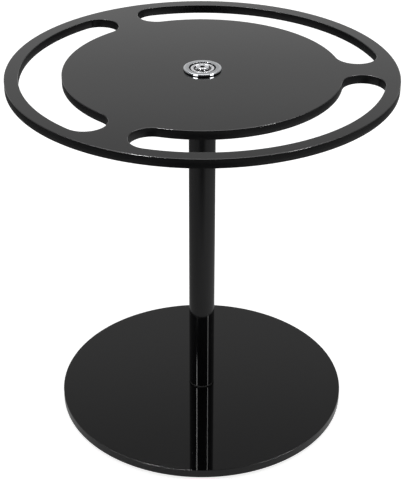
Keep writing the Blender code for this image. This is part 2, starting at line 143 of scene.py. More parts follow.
def rounded(corners, closed=True):
    """The section of (radius, height, rounding) corners, with a guard point on each side of a rounding."""
    count = len(corners)
    points = []
    for index, (radius, height, rounding) in enumerate(corners):
        here = Vector((radius, height))
        if rounding <= 0 or (not closed and index in (0, count - 1)):
            points.append((radius, height))
            continue
        back = (Vector(corners[index - 1][:2]) - here).normalized()
        ahead = (Vector(corners[(index + 1) % count][:2]) - here).normalized()
        half = back.angle(ahead) / 2
        reach = rounding / tan(half)
        centre = here + (back + ahead).normalized() * (rounding / sin(half))
        first, last = here + back * reach, here + ahead * reach
        start = atan2(first.y - centre.y, first.x - centre.x)
        sweep = (atan2(last.y - centre.y, last.x - centre.x) - start + pi) % tau - pi
        guards = min(GUARD, reach / 3)
        points.append(tuple(first + back * guards))
        for step in range(ROUND_STEPS + 1):
            angle = start + sweep * step / ROUND_STEPS
            points.append((centre.x + rounding * cos(angle), centre.y + rounding * sin(angle)))
        points.append(tuple(last + ahead * guards))
    return points


def join_rings(bm, lower, upper):
    """Faces between two rings. A ring of one vertex is a point on the axis."""
    count = max(len(lower), len(upper))
    for here in range(count):
        ahead = (here + 1) % count
        corners = (
            lower[here % len(lower)],
            lower[ahead % len(lower)],
            upper[ahead % len(upper)],
            upper[here % len(upper)],
        )
        bm.faces.new(list(dict.fromkeys(corners)))


def ring(bm, radius, height, sides, turn=0.0):
    if radius < TINY:
        return [bm.verts.new((0.0, 0.0, height))]
    angles = [tau * side / sides + turn for side in range(sides)]
    return [bm.verts.new((radius * cos(angle), radius * sin(angle), height)) for angle in angles]


def lathe(bm, section, sides, closed=False):
    """Turns a section of (radius, height) points about Z, and returns its rings."""
    rings = [ring(bm, radius, height, sides) for radius, height in section]
    for lower, upper in zip(rings, rings[1:]):
        join_rings(bm, lower, upper)
    if closed:
        join_rings(bm, rings[-1], rings[0])
    return rings


def fill(bm, *loops):
    """A flat face bounded by the first loop, with the others as its holes."""
    edges = []
    for loop in loops:
        edges += [bm.edges.get(pair) or bm.edges.new(pair) for pair in zip(loop, loop[1:] + loop[:1])]
    bmesh.ops.triangle_fill(bm, use_beauty=True, edges=edges)


def new_mesh(name, bm):
    """Turns a bmesh into a mesh, and frees it."""
    mesh = bpy.data.meshes.new(name)
    bm.to_mesh(mesh)
    bm.free()
    return mesh


def new_object(name, data):
    """Adds an object to the scene."""
    obj = bpy.data.objects.new(name, data)
    bpy.context.scene.collection.objects.link(obj)
    return obj


def piece(name, bm, material, body, node):
    """Makes the bmesh into a smooth-shaded piece that rides on a body and replaces a construction solid."""
    bmesh.ops.remove_doubles(bm, verts=bm.verts, dist=TINY)
    bmesh.ops.recalc_face_normals(bm, faces=bm.faces)
    mesh = new_mesh(name, bm)
    mesh.shade_smooth()
    mesh.set_sharp_from_angle(angle=SMOOTH_ANGLE)
    mesh.materials.append(material)
    obj = new_object(name, mesh)
    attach(obj, body)
    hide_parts(node)
    return obj


def refinish(obj, material, chosen):
    """Gives another finish to the faces whose centre (radius, height) is chosen."""
    obj.data.materials.append(material)
    for face in obj.data.polygons:
        if chosen(Vector(face.center).xy.length, face.center.z):
            face.material_index = len(obj.data.materials) - 1


def turned_piece(name, corners, sides, material, body, node):
    """A closed turned piece from rounded corners."""
    bm = bmesh.new()
    lathe(bm, rounded(corners), sides, closed=True)
    return piece(name, bm, material, body, node)


def box_corners(inner, outer, bottom, top, rounding, inner_rounding=0.0):
    """Corners of a flat ring's section."""
    return [
        (inner, bottom, inner_rounding),
        (outer, bottom, rounding),
        (outer, top, rounding),
        (inner, top, inner_rounding),
    ]


def hex_socket(bm, mouth, across_flats, floor, point, sides):
    """A hexagonal socket sunk from the mouth ring to floor, and closed by a drill point."""
    mouth_height = mouth[0].co.z
    corner = across_flats / sqrt(3)
    lead = 0.08 * MM * (1 if mouth_height > floor else -1)
    rim = hex_ring(bm, corner + abs(lead), mouth_height, sides)
    fill(bm, mouth, rim)
    top = hex_ring(bm, corner, mouth_height - lead, sides)
    bottom = hex_ring(bm, corner, floor, sides)
    join_rings(bm, rim, top)
    join_rings(bm, top, bottom)
    drill_radius = 0.46 * across_flats
    drill = ring(bm, drill_radius, floor, sides)
    tip = ring(bm, 0.0, point, sides)
    fill(bm, bottom, drill)
    join_rings(bm, drill, tip)


def hex_ring(bm, corner, height, sides):
    """A hexagon of the given number of points, a multiple of 6, evenly spread along its flats."""
    per_flat = sides // 6
    corners = [Vector((corner * cos(tau * k / 6), corner * sin(tau * k / 6), height)) for k in range(7)]
    return [
        bm.verts.new(corners[k].lerp(corners[k + 1], step / per_flat))
        for k in range(6)
        for step in range(per_flat)
    ]


# ---------------------------------------------------------------- colours and node trees


def linear(hex_colour):
    """An sRGB hex colour as linear RGBA."""
    values = [int(hex_colour[i : i + 2], 16) / 255 for i in (1, 3, 5)]
    return (*[v / 12.92 if v <= 0.04045 else ((v + 0.055) / 1.055) ** 2.4 for v in values], 1.0)


def add(tree, kind, inputs=(), **settings):
    """Adds a node with its settings. Each input is a socket's value, or the output socket to link to it."""
    made = tree.nodes.new(kind)
    for name, value in settings.items():
        setattr(made, name, value)
    for socket, value in dict(inputs).items():
        if isinstance(value, bpy.types.NodeSocket):
            tree.links.new(value, made.inputs[socket])
        else:
            made.inputs[socket].default_value = value
    return made


def new_material(name, **constants):
    """A Principled material. Constants are set on the shader's own sockets."""
    material = bpy.data.materials.new(name)
    material.use_nodes = True
    tree = material.node_tree
    shader = tree.nodes["Principled BSDF"]
    for socket, value in constants.items():
        shader.inputs[socket.replace("_", " ")].default_value = value
    place = add(tree, "ShaderNodeTexCoord").outputs["Object"]
    return material, tree, shader, place


def span(tree, value, start, end, first=0.0, last=1.0):
    """Turns a value that runs from start to end into one that runs from first to last and stops there."""
    return add(tree, "ShaderNodeMapRange", {0: value, 1: start, 2: end, 3: first, 4: last}).outputs[0]


def between(tree, factor, low, high):
    """Turns a 0 to 1 factor into a value from low to high."""
    return span(tree, factor, 0.0, 1.0, low, high)


def maths(tree, operation, *values):
    """The result of one operation on values or output sockets."""
    return add(tree, "ShaderNodeMath", dict(enumerate(values)), operation=operation).outputs[0]


def per_mm(size):
    """Texture scale whose pattern repeats about every size millimetres."""
    return 1.0 / (size * MM)


def noise(tree, place, size, detail, roughness=0.5):
    """Clouds about size millimetres across."""
    inputs = {"Vector": place, "Scale": per_mm(size), "Detail": detail, "Roughness": roughness}
    return add(tree, "ShaderNodeTexNoise", inputs).outputs[0]


def turning_marks(tree, along, pitch, detail):
    """Rings about pitch millimetres apart, counted along the lathe tool's path."""
    inputs = {"W": along, "Scale": per_mm(pitch), "Detail": detail}
    return add(tree, "ShaderNodeTexNoise", inputs, noise_dimensions="1D").outputs[0]


def blend(tree, factor, first, second):
    """A colour between two sRGB hex colours."""
    inputs = {0: factor, 6: linear(first), 7: linear(second)}
    return add(tree, "ShaderNodeMix", inputs, data_type="RGBA").outputs[2]


def relief(tree, height, depth, **under):
    """A bump of a depth in metres. Normal=socket lays it over another one."""
    inputs = {"Height": height, "Strength": 1.0, "Distance": depth, **under}
    return add(tree, "ShaderNodeBump", inputs).outputs[0]


def dress(tree, shader, colour, roughness, normal):
    """Gives a shader its colour, roughness and relief."""
    tree.links.new(colour, shader.inputs["Base Color"])
    tree.links.new(roughness, shader.inputs["Roughness"])
    tree.links.new(normal, shader.inputs["Normal"])


# ---------------------------------------------------------------- materials


def cast_acrylic():
    """Black cast acrylic sheet, cell cast and laser cut.

    The faces are mirror-flat with a faint long wave, a few hairline rubs and a bloom of handling haze. The
    cut edges carry fine upright laser striations.
    """
    material, tree, shader, place = new_material("cast_acrylic_black", IOR=1.49, Metallic=0.0)
    dust = span(tree, noise(tree, place, 1.1, 1.0), 0.70, 0.78)
    colour = blend(tree, dust, "#070708", "#151517")

    face = add(tree, "ShaderNodeSeparateXYZ", {0: add(tree, "ShaderNodeTexCoord").outputs["Normal"]})
    edge = span(tree, maths(tree, "ABSOLUTE", face.outputs[2]), 0.3, 0.6, 1.0, 0.0)

    haze = between(tree, noise(tree, place, 38, 4.0, 0.6), 0.012, 0.05)
    rub_place = add(tree, "ShaderNodeMapping", {0: place, 2: (0.0, 0.0, radians(31)), 3: (1.0, 42.0, 1.0)})
    hairline = span(tree, noise(tree, rub_place.outputs[0], 30, 2.0), 0.66, 0.72, 0.0, 0.05)
    worn = maths(tree, "ADD", haze, hairline)
    roughness = maths(tree, "MULTIPLY_ADD", edge, 0.10, worn)

    wave = relief(tree, noise(tree, place, 55, 1.0), 0.012 * MM)
    stripe_place = add(tree, "ShaderNodeMapping", {0: place, 3: (1.0, 1.0, 0.25)})
    stripe = noise(tree, stripe_place.outputs[0], 0.9, 4.0)
    normal = relief(tree, maths(tree, "MULTIPLY", stripe, edge), 0.06 * MM, Normal=wave)
    dress(tree, shader, colour, roughness, normal)
    return material


def stove_enamel():
    """Gloss black stove enamel sprayed on steel tube. Its faint orange peel hardly breaks a highlight."""
    material, tree, shader, place = new_material("stove_enamel_gloss_black", IOR=1.45, Metallic=0.0)
    tone = noise(tree, place, 25, 3.0)
    peel = relief(tree, noise(tree, place, 1.8, 1.0), 0.0015 * MM)
    dress(tree, shader, blend(tree, tone, "#060607", "#0b0b0c"), between(tree, tone, 0.03, 0.07), peel)
    return material


def turned_metal(name, light, dark, smooth, rough, ring_pitch, ring_depth, band=3.0):
    """A lathe-turned metal: fine rings about the axis at the tool's feed, and broader bands of tone.

    The pitch and the depth of the rings and the width of the bands are millimetres.
    """
    material, tree, shader, place = new_material(name, Metallic=1.0)
    split = add(tree, "ShaderNodeSeparateXYZ", {0: place})
    flat = add(tree, "ShaderNodeCombineXYZ", {0: split.outputs[0], 1: split.outputs[1]})
    radius = add(tree, "ShaderNodeVectorMath", {0: flat.outputs[0]}, operation="LENGTH")
    along = maths(tree, "ADD", radius.outputs["Value"], split.outputs[2])
    feed = turning_marks(tree, along, ring_pitch, 3.0)
    tone = span(tree, turning_marks(tree, along, band, 2.0), 0.35, 0.65)
    normal = relief(tree, feed, ring_depth * MM)
    dress(tree, shader, blend(tree, tone, light, dark), between(tree, feed, smooth, rough), normal)
    return material


def satin_chrome():
    """Decorative chrome over a finely turned hub: the lathe's rings show through and darken the mirror."""
    return turned_metal("chrome_plate_fine_turned", "#d2d4d7", "#8f9194", 0.04, 0.13, 0.35, 0.0008, 1.1)


def polished_chrome():
    """Bright chrome plate over a polished screw head: near-mirror, brighter than the hub round it."""
    return turned_metal("chrome_plate_polished", "#f0f1f3", "#d6d8dc", 0.03, 0.10, 0.3, 0.0005)


def bearing_steel():
    """Ground and honed bearing steel, with fine concentric grinding lines and a pale, even tone."""
    return turned_metal("bearing_steel_ground", "#f4f5f7", "#e2e3e6", 0.08, 0.18, 0.2, 0.0009)


def painted_shade_metal():
    """Dark steel laid where the bright parts sit in shade, as on a race's bevel, a shield's web, the hub's
    rebate and foot and a screw's side: painted shade in a soft, deep grey.
    """
    return turned_metal("steel_painted_shade_black", "#2b2b2d", "#1c1c1e", 0.22, 0.36, 0.4, 0.0006)


def zinc_plate():
    """Bright zinc plating on turned steel: bluish, softly mottled and less sharp than chrome."""
    return turned_metal("zinc_plate_clear", "#b9bec7", "#8f949d", 0.24, 0.42, 0.3, 0.0015)


def moulded_rubber():
    """Moulded black rubber: matt, with a fine grain from the mould and a dusty bloom."""
    material, tree, shader, place = new_material("rubber_moulded_black", IOR=1.52, Metallic=0.0)
    bloom = noise(tree, place, 4, 4.0)
    grain = relief(tree, noise(tree, place, 0.35, 2.0), 0.02 * MM)
    dress(tree, shader, blend(tree, bloom, "#0d0d0d", "#191918"), between(tree, bloom, 0.62, 0.82), grain)
    return material


def moulded_nylon():
    """Injection-moulded natural nylon: milky, a little translucent, with a satin skin."""
    material, tree, shader, place = new_material(
        "nylon_moulded_natural", IOR=1.53, Metallic=0.0, Subsurface_Weight=0.25, Subsurface_Scale=1.0 * MM
    )
    cloud = noise(tree, place, 5, 3.0)
    skin = relief(tree, noise(tree, place, 0.6, 2.0), 0.006 * MM)
    dress(tree, shader, blend(tree, cloud, "#e6e2d6", "#d3cebf"), between(tree, cloud, 0.36, 0.5), skin)
    return material


# ---------------------------------------------------------------- pieces of the stand


def rubber_feet(material):
    """Domed stick-on feet, flat where they rest."""
    for index in range(FOOT_COUNT):
        node = f"rubber_foot_{index + 1}"
        low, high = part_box(node)
        radius = (high.x - low.x) / 2
        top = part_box("base_plate")[0].z
        section = rounded(
            [
                (0.0, 0.0, 0.0),
                (radius - 0.9 * MM, 0.0, 0.5 * MM),
                (radius - 0.2 * MM, 0.8 * MM, 0.6 * MM),
                (radius, top, 0.0),
                (0.0, top, 0.0),
            ],
            closed=False,
        )
        bm = bmesh.new()
        lathe(bm, section, SMALL_SIDES)
        centre = (low + high) / 2
        bmesh.ops.translate(bm, verts=bm.verts, vec=(centre.x, centre.y, 0.0))
        piece(f"foot_{index + 1}", bm, material, "stand", node)


def base_disc(material):
    """The base disc: polished, finely broken edges and a countersunk hole from below."""
    outer = radius_of("base_plate")
    bottom, top = heights_of("base_plate")
    hole = BASE_HOLE_RADIUS
    mouth = radius_of("base_screw") + 0.5 * MM
    edge = 0.18 * MM
    corners = [
        (mouth, bottom, 0.05 * MM),
        (outer, bottom, edge),
        (outer, top, edge),
        (hole, top, 0.05 * MM),
        (hole, bottom + mouth - hole, 0.0),
    ]
    turned_piece("base_disc", corners, LARGE_SIDES, material, "stand", "base_plate")


def base_screw(material):
    """A countersunk socket screw, head down."""
    bottom, top = heights_of("base_screw")
    head = radius_of("base_screw")
    shank = BASE_SCREW_RADIUS
    lead_in = 0.6 * MM
    socket_mouth = 3.6 * MM
    section = rounded(
        [
            (socket_mouth, bottom, 0.0),
            (head, bottom, 0.15 * MM),
            (shank, bottom + head - shank, 0.3 * MM),
            (shank, top - lead_in, 0.1 * MM),
            (shank - lead_in, top, 0.1 * MM),
            (0.0, top, 0.0),
        ],
        closed=False,
    )
    bm = bmesh.new()
    rings = lathe(bm, section, SMALL_SIDES)
    hex_socket(bm, rings[0], BASE_SCREW_SOCKET, bottom + 2.1 * MM, bottom + 3.2 * MM, SMALL_SIDES)
    piece("countersunk_screw", bm, material, "stand", "base_screw")


def foot_seal(material):
    """A thin gasket squeezed between the column and the base, which closes the seam."""
    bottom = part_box("base_plate")[1].z
    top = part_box("column_tube")[0].z
    corners = box_corners(SEAL_BORE_RADIUS, radius_of("foot_gasket"), bottom, top, 0.2 * MM)
    turned_piece("column_seal", corners, MIDDLE_SIDES, material, "stand", "foot_gasket")


def column(material):
    """The enamelled tube, with its ends lightly broken."""
    outer = radius_of("column_tube")
    bottom, top = heights_of("column_tube")
    broken = 0.12 * MM
    corners = box_corners(outer - TUBE_WALL, outer, bottom, top, broken, broken)
    turned_piece("column", corners, MIDDLE_SIDES, material, "stand", "column_tube")


def foot_plug(material):
    """The threaded plug in the foot of the tube, whose hole ends in a drill point."""
    bottom, top = heights_of("column_foot_plug")
    outer = radius_of("column_foot_plug")
    hole = BASE_SCREW_RADIUS + FIT_GAP
    section = rounded(
        [
            (0.0, top - 2.6 * MM, 0.0),
            (hole, top - 4.2 * MM, 0.0),
            (hole, bottom, 0.2 * MM),
            (outer, bottom, 0.3 * MM),
            (outer, top, 0.5 * MM),
            (0.0, top, 0.0),
        ],
        closed=False,
    )
    bm = bmesh.new()
    lathe(bm, section, SMALL_SIDES)
    piece("foot_plug", bm, material, "stand", "column_foot_plug")


def head_plug(material):
    """The threaded plug in the head of the tube: a cap on the tube, and a neck that carries the bearing."""
    bottom, top = heights_of("column_head_plug")
    tube_top = heights_of("column_tube")[1]
    hub_bottom = heights_of("bearing_hub")[0]
    cap_top = hub_bottom - 1.0 * MM
    outer = radius_of("column_tube") - TUBE_WALL - FIT_GAP
    cap_bottom = tube_top + 0.2 * MM
    cap_radius = radius_of("column_head_plug")
    boss = 5.5 * MM
    land = radius_of("axle_spacer")
    neck = top - 0.92 * MM
    hole = AXLE_BORE_RADIUS
    hole_bottom = heights_of("axle_screw")[0] - 1.0 * MM
    section = rounded(
        [
            (0.0, bottom, 0.0),
            (outer, bottom, 0.5 * MM),
            (outer, cap_bottom, 0.0),
            (cap_radius, cap_bottom, 0.15 * MM),
            (cap_radius, cap_top, 0.5 * MM),
            (boss, cap_top, 0.4 * MM),
            (boss, neck, 0.3 * MM),
            (land, neck, 0.2 * MM),
            (land, top, 0.1 * MM),
            (hole, top, 0.1 * MM),
            (hole, hole_bottom, 0.0),
            (0.0, hole_bottom - 1.2 * MM, 0.0),
        ],
        closed=False,
    )
    bm = bmesh.new()
    lathe(bm, section, MIDDLE_SIDES)
    piece("head_plug", bm, material, "stand", "column_head_plug")


def axle_spacer(material):
    """The thin ring between the head plug and the bearing's inner race."""
    bottom, top = heights_of("axle_spacer")
    corners = box_corners(AXLE_BORE_RADIUS, radius_of("axle_spacer"), bottom, top, 0.1 * MM, 0.08 * MM)
    turned_piece("spacer_ring", corners, SMALL_SIDES, material, "stand", "axle_spacer")


def axle_screw(material, painted_shade_steel):
    """A thin-head screw that stands a little above the hub: a polished top, and a side and socket in dark
    steel as painted shade.
    """
    low, high = heights_of("axle_screw")
    head = radius_of("axle_screw")
    shank = AXLE_BORE_RADIUS - FIT_GAP
    seat = heights_of("bearing_inner_race")[1] + FIT_GAP
    lead_in = 0.6 * MM
    socket_mouth = 2.3 * MM
    section = rounded(
        [
            (0.0, low, 0.0),
            (shank - lead_in, low, 0.1 * MM),
            (shank, low + lead_in, 0.1 * MM),
            (shank, seat, 0.0),
            (head, seat, 0.08 * MM),
            (head, high, 0.22 * MM),
            (socket_mouth, high, 0.0),
        ],
        closed=False,
    )
    bm = bmesh.new()
    rings = lathe(bm, section, SMALL_SIDES)
    hex_socket(bm, rings[-1], AXLE_SCREW_SOCKET, high - 1.5 * MM, high - 2.1 * MM, SMALL_SIDES)
    made = piece("thin_head_screw", bm, material, "stand", "axle_screw")
    rim = 0.24 * MM
    # Painted shade: the side of the head below its top rim, and its socket, take the dark steel.
    refinish(made, painted_shade_steel, lambda radius, height: seat < height < high - rim)


# ---------------------------------------------------------------- the bearing


def race_groove(land, pitch, middle, radius):
    """The round ball groove of a race, from the bottom up."""
    half = asin(sqrt(radius**2 - (land - pitch) ** 2) / radius)
    facing = 0.0 if land > pitch else pi
    side = 1 if land > pitch else -1
    turns = [2 * step / GROOVE_STEPS - 1 for step in range(GROOVE_STEPS + 1)]
    angles = [facing + side * half * turn for turn in turns]
    return [(pitch + radius * cos(a), middle + radius * sin(a), 0.0) for a in angles]


def bearing(steel, painted_shade_steel, nylon):
    """A shielded miniature ball bearing: two ground races, pressed shields, a crown cage and its balls."""
    bottom, top = heights_of("bearing_outer_race")
    outer = radius_of("bearing_outer_race")
    land_in = radius_of("bearing_inner_race")
    bore = AXLE_BORE_RADIUS
    pitch = (outer + bore) / 2
    land_out = 2 * pitch - land_in
    middle = (bottom + top) / 2
    low_ball, high_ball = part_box("bearing_ball_1")
    ball = (high_ball.z - low_ball.z) / 2
    groove = ball + FIT_GAP
    edge = 0.3 * MM
    bevel_width = 0.45 * MM
    bevel_depth = 0.6 * MM

    inner_race = [
        (bore, bottom, edge),
        (land_in, bottom, 0.1 * MM),
        *race_groove(land_in, pitch, middle, groove),
        (land_in, top, 0.1 * MM),
        (bore, top, edge),
    ]
    turned_piece(
        "inner_race", inner_race, SMALL_SIDES, steel, "stand", "bearing_inner_race"
    )
    outer_race = [
        (outer, bottom, edge),
        (outer, top - bevel_depth, 0.1 * MM),
        (outer - bevel_width, top, 0.1 * MM),
        (land_out, top, 0.08 * MM),
        *reversed(race_groove(land_out, pitch, middle, groove)),
        (land_out, bottom, 0.08 * MM),
    ]
    race = turned_piece(
        "outer_race", outer_race, MIDDLE_SIDES, steel, "turntable", "bearing_outer_race"
    )
    # Painted shade: the bevel on the outer race takes the dark steel, for the dark groove between race and
    # hub.
    bevelled = outer - bevel_width + 0.03 * MM
    refinish(race, painted_shade_steel, lambda radius, height: radius > bevelled)

    for side, name in ((1, "upper"), (-1, "lower")):
        node = f"bearing_shield_{name}"
        z_in, z_out = heights_of(node)[::side]
        shield(f"shield_{name}", node, z_in, z_out, side, steel, painted_shade_steel)

    for index in range(BALL_COUNT):
        node = f"bearing_ball_{index + 1}"
        low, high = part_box(node)
        bm = bmesh.new()
        bmesh.ops.create_icosphere(bm, subdivisions=4, radius=ball)
        bmesh.ops.translate(bm, verts=bm.verts, vec=(low + high) / 2)
        piece(f"ball_{index + 1}", bm, steel, "ball_cage", node)
    crown_cage(nylon, pitch, groove)


def shield(name, node, z_in, z_out, side, steel, painted_shade_steel):
    """A pressed shield: a bright rim crimped into the outer race, and a sunk web in dark steel, which stands
    for a dark seal face and also paints the shade in front of the screw head.
    """
    outer = radius_of(node)
    inner = radius_of("bearing_inner_race") + 0.3 * MM
    thin = abs(z_out - z_in)
    dip = side * 0.2 * MM
    rim = outer - 0.5 * MM
    face = [
        (outer, z_out, 0.05 * MM),
        (rim, z_out, 0.06 * MM),
        (rim - 0.15 * MM, z_out - dip, 0.04 * MM),
        (inner, z_out - dip, 0.06 * MM),
    ]
    back = [(radius, height - side * thin, 0.0) for radius, height, _ in reversed(face)]
    made = turned_piece(name, face + back, MIDDLE_SIDES, steel, "turntable", node)
    # Dark seal face and painted shade: the web inside the rim takes the dark steel.
    refinish(made, painted_shade_steel, lambda radius, height: radius < rim - 0.05 * MM)


def crown_cage(material, pitch, pocket):
    """A moulded ring with an open round pocket for each ball."""
    low, high = heights_of("bearing_cage")
    outer = radius_of("bearing_cage")
    inner = 2 * pitch - outer
    corners = box_corners(inner, outer, low, high, 0.12 * MM, 0.12 * MM)
    cage = turned_piece(
        "ball_cage_ring", corners, MIDDLE_SIDES, material, "ball_cage", "bearing_cage"
    )
    cutter = bmesh.new()
    for index in range(BALL_COUNT):
        centre_low, centre_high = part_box(f"bearing_ball_{index + 1}")
        made = bmesh.ops.create_icosphere(cutter, subdivisions=4, radius=pocket)
        bmesh.ops.translate(cutter, verts=made["verts"], vec=(centre_low + centre_high) / 2)
    helper = new_object("pocket_cutter", new_mesh("pocket_cutter", cutter))
    cut = cage.modifiers.new("pockets", "BOOLEAN")
    cut.object = helper
    graph = bpy.context.evaluated_depsgraph_get()
    finished = bpy.data.meshes.new_from_object(cage.evaluated_get(graph))
    cage.modifiers.clear()
    cage.data = finished
    cage.data.set_sharp_from_angle(angle=SMOOTH_ANGLE)
    bpy.data.objects.remove(helper)


# ---------------------------------------------------------------- pieces of the turntable


def slot_points(inset, centre_angle, slot_inner, slot_outer):
    """The outline of one curved slot with round ends, drawn larger by inset."""
    middle = (slot_inner + slot_outer) / 2
    end_radius = SLOT_WIDTH / 2 + inset
    half_span = pi / RIB_COUNT - asin((RIB_WIDTH / 2 + SLOT_WIDTH / 2) / middle)
    first, last = centre_angle - half_span, centre_angle + half_span
    long_steps, end_steps = 96, 36
    outer, inner = slot_outer + inset, slot_inner - inset

    def sweep(centre, radius, start, end, steps):
        angles = [start + (end - start) * step / steps for step in range(steps)]
        return [(centre[0] + radius * cos(a), centre[1] + radius * sin(a)) for a in angles]

    return [
        *sweep((0.0, 0.0), outer, first, last, long_steps),
        *sweep((middle * cos(last), middle * sin(last)), end_radius, last, last + pi, end_steps),
        *sweep((0.0, 0.0), inner, last, first, long_steps),
        *sweep((middle * cos(first), middle * sin(first)), end_radius, first + pi, first + tau, end_steps),
    ]


def edge_levels(bottom, top, rounding):
    """(inset, height) levels of a wall whose two edges are rounded, each with a guard ring on the flat."""
    quarter = [radians(90) * step / ROUND_STEPS for step in range(ROUND_STEPS + 1)]
    upper = [(rounding * (1 - cos(a)), top - rounding * (1 - sin(a))) for a in quarter]
    upper.append((rounding + GUARD, top))
    lower = [(inset, bottom + top - height) for inset, height in reversed(upper)]
    return lower + upper


def slotted_plate(material):
    """The turntable's plate: three curved slots, a seat for the hub's flange, and polished rounded edges."""
    outer = radius_of("turntable_plate")
    bottom, top = heights_of("turntable_plate")
    slot_outer = outer - RIM_WIDTH
    slot_inner = slot_outer - SLOT_WIDTH
    levels = edge_levels(bottom, top, 0.35 * MM)
    bm = bmesh.new()
    bottoms, tops = [], []

    def wall(outline_at):
        loops = [[bm.verts.new((x, y, z)) for x, y in outline_at(inset)] for inset, z in levels]
        for lower, upper in zip(loops, loops[1:]):
            join_rings(bm, lower, upper)
        bottoms.append(loops[0])
        tops.append(loops[-1])

    rim_angles = [tau * side / LARGE_SIDES for side in range(LARGE_SIDES)]
    wall(lambda inset: [((outer - inset) * cos(a), (outer - inset) * sin(a)) for a in rim_angles])
    for index in range(RIB_COUNT):
        wall(lambda inset, k=index: slot_points(inset, tau * (k + 0.5) / RIB_COUNT, slot_inner, slot_outer))

    hole = radius_of("bearing_outer_race") + HUB_WALL + 2 * FIT_GAP
    seat = radius_of("bearing_hub") + HUB_SEAT_CLEARANCE
    seat_height = top - HUB_SEAT_DEPTH
    margin = 1.0 * MM
    section = rounded(
        [
            (hole + margin, bottom, 0.0),
            (hole, bottom, 0.2 * MM),
            (hole, seat_height, 0.0),
            (seat, seat_height, 0.0),
            (seat, top, 0.08 * MM),
            (seat + margin, top, 0.0),
        ],
        closed=False,
    )
    rings = lathe(bm, section, MIDDLE_SIDES)
    bottoms.append(rings[0])
    tops.append(rings[-1])
    fill(bm, *bottoms)
    fill(bm, *tops)
    piece("slotted_plate", bm, material, "turntable", "turntable_plate")


def hub(material, painted_shade_steel):
    """The chromed hub: a sleeve, a flange whose lower side is painted dark as shade, and a rebate round the
    bearing painted black as shade.
    """
    flange = radius_of("bearing_hub")
    bottom, top = heights_of("bearing_hub")
    plate_top = heights_of("turntable_plate")[1]
    bore = radius_of("bearing_outer_race") + FIT_GAP
    sleeve = bore + HUB_WALL
    flange_bottom = plate_top - 0.5 * MM
    foot = plate_top + 0.65 * MM
    lip = bore - 2.0 * MM
    lip_top = heights_of("bearing_outer_race")[0] - FIT_GAP
    lip_bottom = lip_top - 1.2 * MM
    rebate = bore + 0.72 * MM
    rebate_bottom = top - 0.9 * MM
    corners = [
        (bore, bottom, 0.15 * MM),
        (sleeve, bottom, 0.4 * MM),
        (sleeve, flange_bottom, 0.0),
        (flange, flange_bottom, 0.1 * MM),
        (flange, foot, 0.0),
        (flange, top, 0.4 * MM),
        (rebate, top, 0.08 * MM),
        (rebate - 0.1 * MM, rebate_bottom, 0.05 * MM),
        (bore, rebate_bottom, 0.05 * MM),
        (bore, lip_top, 0.0),
        (lip, lip_top, 0.1 * MM),
        (lip, lip_bottom, 0.1 * MM),
        (bore, lip_bottom, 0.1 * MM),
    ]
    made = turned_piece("chrome_hub", corners, MIDDLE_SIDES, material, "turntable", "bearing_hub")
    # Painted shade: the rebate, the bore and the lip inside it take the dark steel.
    refinish(made, painted_shade_steel, lambda radius, height: radius < rebate - TINY)
    # Painted shade: the flange's side below the foot height is dark, where it meets the plate.
    refinish(made, painted_shade_steel, lambda radius, height: radius > flange - 0.05 * MM and height < foot)


def clamp_washer(material):
    """The washer between the plate and the nut."""
    bore = radius_of("bearing_outer_race") + HUB_WALL + 2 * FIT_GAP
    bottom, top = heights_of("hub_washer")
    corners = box_corners(bore, radius_of("hub_washer"), bottom, top, 0.2 * MM, 0.1 * MM)
    turned_piece("clamp_washer", corners, MIDDLE_SIDES, material, "turntable", "hub_washer")


def thin_nut(material):
    """The thin hexagonal nut that holds the hub from below, with its corners chamfered on both faces."""
    bore = radius_of("bearing_outer_race") + HUB_WALL + 2 * FIT_GAP
    lead_in = 0.5 * MM
    bottom, top = heights_of("hub_nut")
    low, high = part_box("hub_nut")
    corner = (high.x - low.x) / 2
    flat = corner * cos(pi / 6)
    chamfer = corner - flat
    rise = chamfer * tan(radians(30))
    shares = [step / NUT_CHAMFER_STEPS for step in range(NUT_CHAMFER_STEPS + 1)]
    levels = [(flat + chamfer * share, bottom + rise * share) for share in shares]
    levels += [(radius, bottom + top - height) for radius, height in reversed(levels)]
    bm = bmesh.new()
    sides = MIDDLE_SIDES - MIDDLE_SIDES % 6
    loops = []
    for limit, height in levels:
        loop = []
        for side in range(sides):
            angle = tau * side / sides
            to_flat = flat / cos((angle % (pi / 3)) - pi / 6)
            reach = min(to_flat, limit)
            loop.append(bm.verts.new((reach * cos(angle), reach * sin(angle), height)))
        loops.append(loop)
    for lower, upper in zip(loops, loops[1:]):
        join_rings(bm, lower, upper)
    section = rounded(
        [
            (bore + lead_in, bottom, 0.0),
            (bore, bottom + lead_in, 0.0),
            (bore, top - lead_in, 0.0),
            (bore + lead_in, top, 0.0),
        ],
        closed=False,
    )
    rings = lathe(bm, section, sides)
    fill(bm, loops[0], rings[0])
    fill(bm, loops[-1], rings[-1])
    piece("thin_nut", bm, material, "turntable", "hub_nut")


# ---------------------------------------------------------------- studio


def flat_square(name, half, height, material):
    """A level square about the axis, which belongs to the studio."""
    bm = bmesh.new()
    corners = ((-1, -1), (1, -1), (1, 1), (-1, 1))
    bm.faces.new([bm.verts.new((x * half, y * half, height)) for x, y in corners])
    mesh = new_mesh(name, bm)
    mesh.materials.append(material)
    obj = new_object(name, mesh)
    return obj


def floor():
    """A white shooting table lit from below, so shadows stay faint. The gloss mirrors the card instead."""
    material, tree, shader, place = new_material(
        "table_opal_white", Roughness=0.9, Specular_IOR_Level=0.0, Emission_Strength=0.82
    )
    shader.inputs["Emission Color"].default_value = (1.0, 1.0, 1.0, 1.0)
    colour = blend(tree, noise(tree, place, 400, 2.0), "#d4d4d4", "#cfcfce")
    tree.links.new(colour, shader.inputs["Base Color"])
    flat_square("studio_floor", FLOOR_HALF, FLOOR_HEIGHT, material).visible_glossy = False


